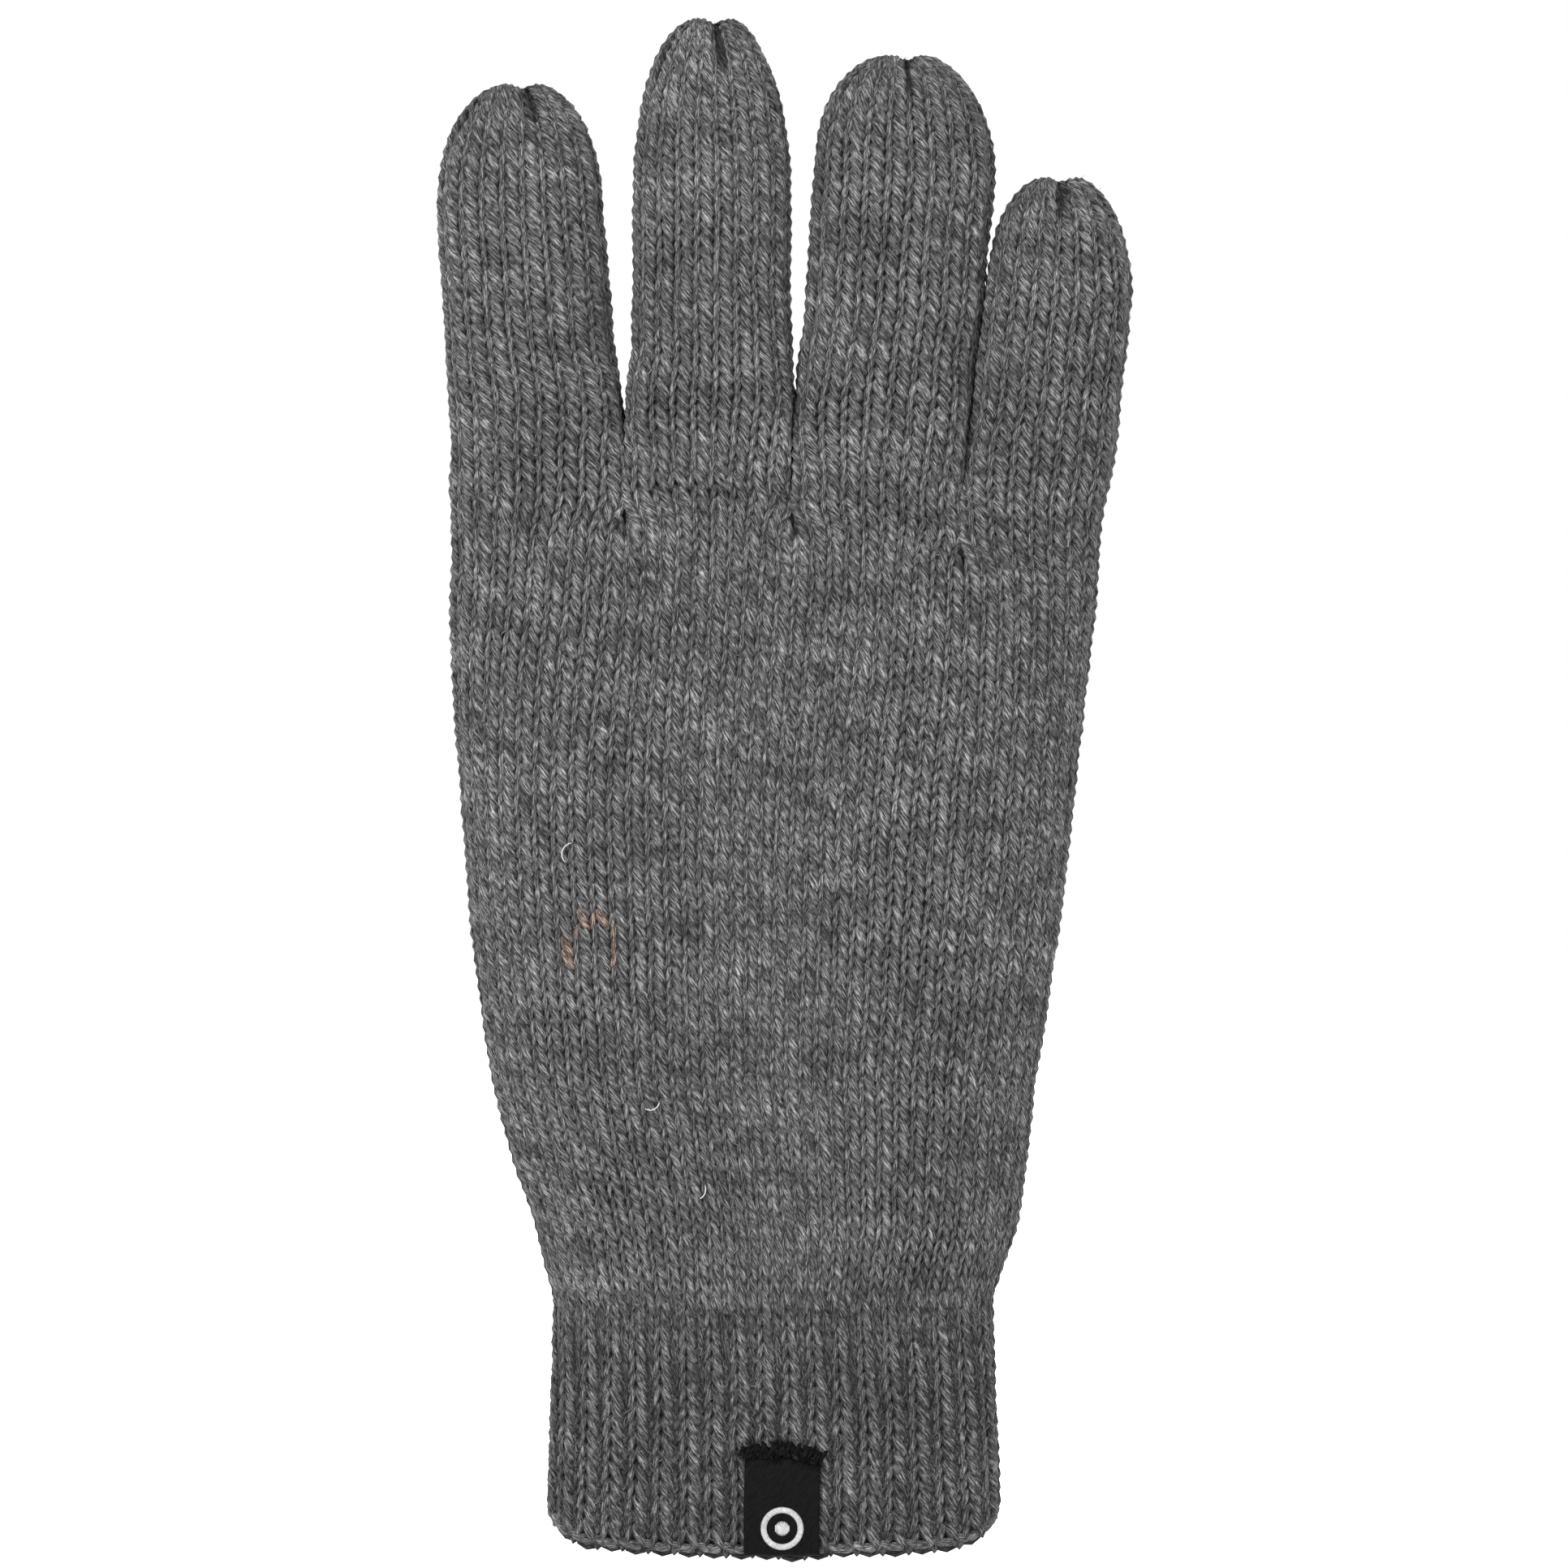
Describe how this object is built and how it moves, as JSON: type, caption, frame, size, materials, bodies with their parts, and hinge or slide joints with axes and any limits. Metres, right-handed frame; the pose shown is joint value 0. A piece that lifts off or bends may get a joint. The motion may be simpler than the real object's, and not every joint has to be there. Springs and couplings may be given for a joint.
{
  "type": "knitted touchscreen glove",
  "caption": "Grey marl knitted full-finger glove for the right hand, with a ribbed cuff, a folded woven label and conductive fingertip patches.",
  "frame": {"origin": "centre of the wrist opening, in the plane of the hem", "axes": "+Z from the hem to the fingertips, +X towards the little finger, +Y out of the palm, -Y out of the back of the hand"},
  "size_m": [0.1111, 0.0364, 0.2487],
  "materials": {
    "marl_knit": "soft heathered wool-blend plain knit with short loose fibres",
    "rib_knit": "the same heathered yarn in one-by-one rib",
    "elastic_yarn": "covered elastic thread, matte",
    "conductive_yarn": "copper-tinted conductive yarn, slight metallic sheen",
    "label_tape": "tightly woven satin tape, low sheen",
    "black_thread": "fuzzy spun sewing thread",
    "label_mark": "pale woven-in yarn, matte"
  },
  "bodies": {
    "hand": {"cuff_rib": "rib_knit", "cuff_hem": "rib_knit", "cuff_elastic": "elastic_yarn", "hand_back": "marl_knit", "hand_palm": "marl_knit", "web_index_middle": "marl_knit", "web_middle_ring": "marl_knit", "web_ring_little": "marl_knit", "thumb_gusset": "marl_knit", "woven_label": "label_tape", "label_stitching": "black_thread", "label_mark": "label_mark", "conductive_stitches": "conductive_yarn", "index_root_band": "marl_knit", "middle_root_band": "marl_knit", "ring_root_band": "marl_knit", "little_root_band": "marl_knit", "thumb_root_band": "marl_knit"},
    "index_lower": {"index_lower_tube": "marl_knit", "index_knuckle_band": "marl_knit"},
    "index_upper": {"index_upper_tube": "marl_knit", "index_tip_gather": "marl_knit", "index_touch_pad": "conductive_yarn"},
    "middle_lower": {"middle_lower_tube": "marl_knit", "middle_knuckle_band": "marl_knit"},
    "middle_upper": {"middle_upper_tube": "marl_knit", "middle_tip_gather": "marl_knit"},
    "ring_lower": {"ring_lower_tube": "marl_knit", "ring_knuckle_band": "marl_knit"},
    "ring_upper": {"ring_upper_tube": "marl_knit", "ring_tip_gather": "marl_knit"},
    "little_lower": {"little_lower_tube": "marl_knit", "little_knuckle_band": "marl_knit"},
    "little_upper": {"little_upper_tube": "marl_knit", "little_tip_gather": "marl_knit"},
    "thumb_lower": {"thumb_lower_tube": "marl_knit", "thumb_knuckle_band": "marl_knit"},
    "thumb_upper": {"thumb_upper_tube": "marl_knit", "thumb_tip_gather": "marl_knit", "thumb_touch_pad": "conductive_yarn"}
  },
  "joints": [
    {"name": "index_root", "type": "hinge", "parent": "hand", "child": "index_lower", "pos_m": [-0.0379, 0, 0.178], "axis": [-1, 0, 0], "range_deg": [0, 80], "stiffness_Nm_per_rad": 0.01, "deforming": ["index_root_band"]},
    {"name": "index_bend", "type": "hinge", "parent": "index_lower", "child": "index_upper", "pos_m": [-0.03976, 0, 0.205], "axis": [-1, 0, 0], "range_deg": [0, 90], "stiffness_Nm_per_rad": 0.01, "deforming": ["index_knuckle_band"]},
    {"name": "middle_root", "type": "hinge", "parent": "hand", "child": "middle_lower", "pos_m": [-0.0101, 0, 0.18], "axis": [-1, 0, 0], "range_deg": [0, 80], "stiffness_Nm_per_rad": 0.01, "deforming": ["middle_root_band"]},
    {"name": "middle_bend", "type": "hinge", "parent": "middle_lower", "child": "middle_upper", "pos_m": [-0.00985, 0, 0.211], "axis": [-1, 0, 0], "range_deg": [0, 90], "stiffness_Nm_per_rad": 0.01, "deforming": ["middle_knuckle_band"]},
    {"name": "ring_root", "type": "hinge", "parent": "hand", "child": "ring_lower", "pos_m": [0.0167, 0, 0.177], "axis": [-1, 0, 0], "range_deg": [0, 80], "stiffness_Nm_per_rad": 0.01, "deforming": ["ring_root_band"]},
    {"name": "ring_bend", "type": "hinge", "parent": "ring_lower", "child": "ring_upper", "pos_m": [0.01954, 0, 0.206], "axis": [-1, 0, 0], "range_deg": [0, 90], "stiffness_Nm_per_rad": 0.01, "deforming": ["ring_knuckle_band"]},
    {"name": "little_root", "type": "hinge", "parent": "hand", "child": "little_lower", "pos_m": [0.042, 0, 0.17], "axis": [-1, 0, 0], "range_deg": [0, 80], "stiffness_Nm_per_rad": 0.01, "deforming": ["little_root_band"]},
    {"name": "little_bend", "type": "hinge", "parent": "little_lower", "child": "little_upper", "pos_m": [0.04471, 0, 0.193], "axis": [-1, 0, 0], "range_deg": [0, 90], "stiffness_Nm_per_rad": 0.01, "deforming": ["little_knuckle_band"]},
    {"name": "thumb_swing", "type": "hinge", "parent": "hand", "child": "thumb_lower", "pos_m": [-0.03864, 0.0179, 0.09905], "axis": [0, -1, 0], "range_deg": [0, 50], "stiffness_Nm_per_rad": 0.01, "deforming": ["thumb_root_band"]},
    {"name": "thumb_bend", "type": "hinge", "parent": "thumb_lower", "child": "thumb_upper", "pos_m": [-0.02308, 0.0179, 0.12425], "axis": [-0.9397, 0, 0.342], "range_deg": [0, 75], "stiffness_Nm_per_rad": 0.01, "deforming": ["thumb_knuckle_band"]}
  ]
}
